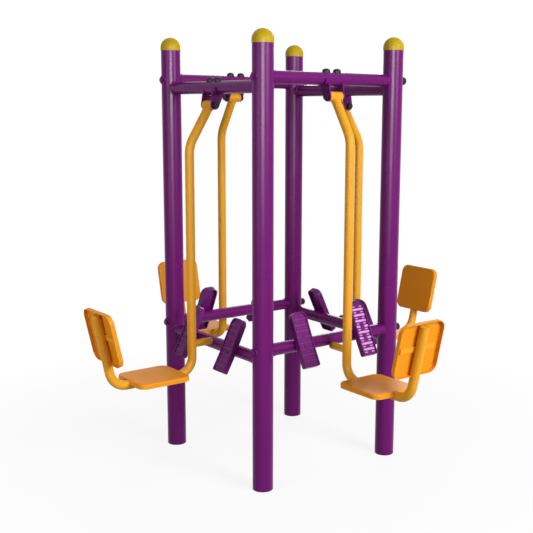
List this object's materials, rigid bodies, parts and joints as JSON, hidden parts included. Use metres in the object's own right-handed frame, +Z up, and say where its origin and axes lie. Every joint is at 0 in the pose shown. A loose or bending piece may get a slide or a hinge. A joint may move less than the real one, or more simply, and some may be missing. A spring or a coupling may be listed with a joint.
{
  "type": "outdoor seated leg press",
  "caption": "Free-standing outdoor leg press: a square frame of round posts, with seats that hang on bent swing arms around it and treaded foot pedals on its lower beams.",
  "frame": {"origin": "middle of the square of the four post feet, at the posts' lower ends", "axes": "+Z up, +X from the front post to the right post, +Y from the front post to the left post"},
  "size_m": [2.4782, 2.4782, 2.481],
  "materials": {
    "purple_powder_coat": "gloss powder coat",
    "purple_cast_pedal": "gloss powder coat on cast metal",
    "yellow_powder_coat": "gloss powder coat",
    "yellow_plastic": "moulded, gloss",
    "black_nut": "black oxide steel under paint, semi-gloss",
    "zinc_steel": "zinc plated",
    "bearing_steel": "ground and polished",
    "amber_polyurethane": "cast, satin"
  },
  "bodies": {
    "frame": {"post_front": "purple_powder_coat", "post_cap_front": "yellow_plastic", "post_right": "purple_powder_coat", "post_cap_right": "yellow_plastic", "post_back": "purple_powder_coat", "post_cap_back": "yellow_plastic", "post_left": "purple_powder_coat", "post_cap_left": "yellow_plastic", "top_beam_back_right": "purple_powder_coat", "lower_beam_back_right": "purple_powder_coat", "hanger_back_right": "purple_powder_coat", "foot_pedal_back_right_a": "purple_cast_pedal", "foot_pedal_back_right_b": "purple_cast_pedal", "top_beam_back_left": "purple_powder_coat", "lower_beam_back_left": "purple_powder_coat", "hanger_back_left": "purple_powder_coat", "foot_pedal_back_left_a": "purple_cast_pedal", "foot_pedal_back_left_b": "purple_cast_pedal", "top_beam_front_left": "purple_powder_coat", "lower_beam_front_left": "purple_powder_coat", "hanger_front_left": "purple_powder_coat", "foot_pedal_front_left_a": "purple_cast_pedal", "foot_pedal_front_left_b": "purple_cast_pedal", "top_beam_front_right": "purple_powder_coat", "lower_beam_front_right": "purple_powder_coat", "hanger_front_right": "purple_powder_coat", "foot_pedal_front_right_a": "purple_cast_pedal", "foot_pedal_front_right_b": "purple_cast_pedal", "beam_bolts": "purple_powder_coat", "beam_saddle_washers": "purple_powder_coat", "beam_dome_nuts": "black_nut", "hanger_studs": "zinc_steel", "hanger_dome_nuts": "black_nut", "pivot_bolts": "black_nut", "pivot_nuts": "black_nut", "pivot_spacers": "zinc_steel", "bearing_inner_rings": "bearing_steel", "pedal_screws": "purple_cast_pedal"},
    "seat_back_right": {"swing_arm_back_right": "yellow_powder_coat", "seat_pan_back_right": "yellow_powder_coat", "backrest_back_right": "yellow_powder_coat", "stop_bumper_back_right": "amber_polyurethane", "bearings_back_right": "bearing_steel"},
    "seat_back_left": {"swing_arm_back_left": "yellow_powder_coat", "seat_pan_back_left": "yellow_powder_coat", "backrest_back_left": "yellow_powder_coat", "stop_bumper_back_left": "amber_polyurethane", "bearings_back_left": "bearing_steel"},
    "seat_front_left": {"swing_arm_front_left": "yellow_powder_coat", "seat_pan_front_left": "yellow_powder_coat", "backrest_front_left": "yellow_powder_coat", "stop_bumper_front_left": "amber_polyurethane", "bearings_front_left": "bearing_steel"},
    "seat_front_right": {"swing_arm_front_right": "yellow_powder_coat", "seat_pan_front_right": "yellow_powder_coat", "backrest_front_right": "yellow_powder_coat", "stop_bumper_front_right": "amber_polyurethane", "bearings_front_right": "bearing_steel"}
  },
  "joints": [
    {"name": "swing_back_right", "type": "hinge", "parent": "frame", "child": "seat_back_right", "pos_m": [0.487, 0, 2.095], "axis": [0, -1, 0], "range_deg": [0, 30]},
    {"name": "swing_back_left", "type": "hinge", "parent": "frame", "child": "seat_back_left", "pos_m": [0, 0.487, 2.143], "axis": [1, 0, 0], "range_deg": [0, 30]},
    {"name": "swing_front_left", "type": "hinge", "parent": "frame", "child": "seat_front_left", "pos_m": [-0.487, 0, 2.095], "axis": [0, 1, 0], "range_deg": [0, 30]},
    {"name": "swing_front_right", "type": "hinge", "parent": "frame", "child": "seat_front_right", "pos_m": [0, -0.487, 2.143], "axis": [-1, 0, 0], "range_deg": [0, 30]}
  ]
}
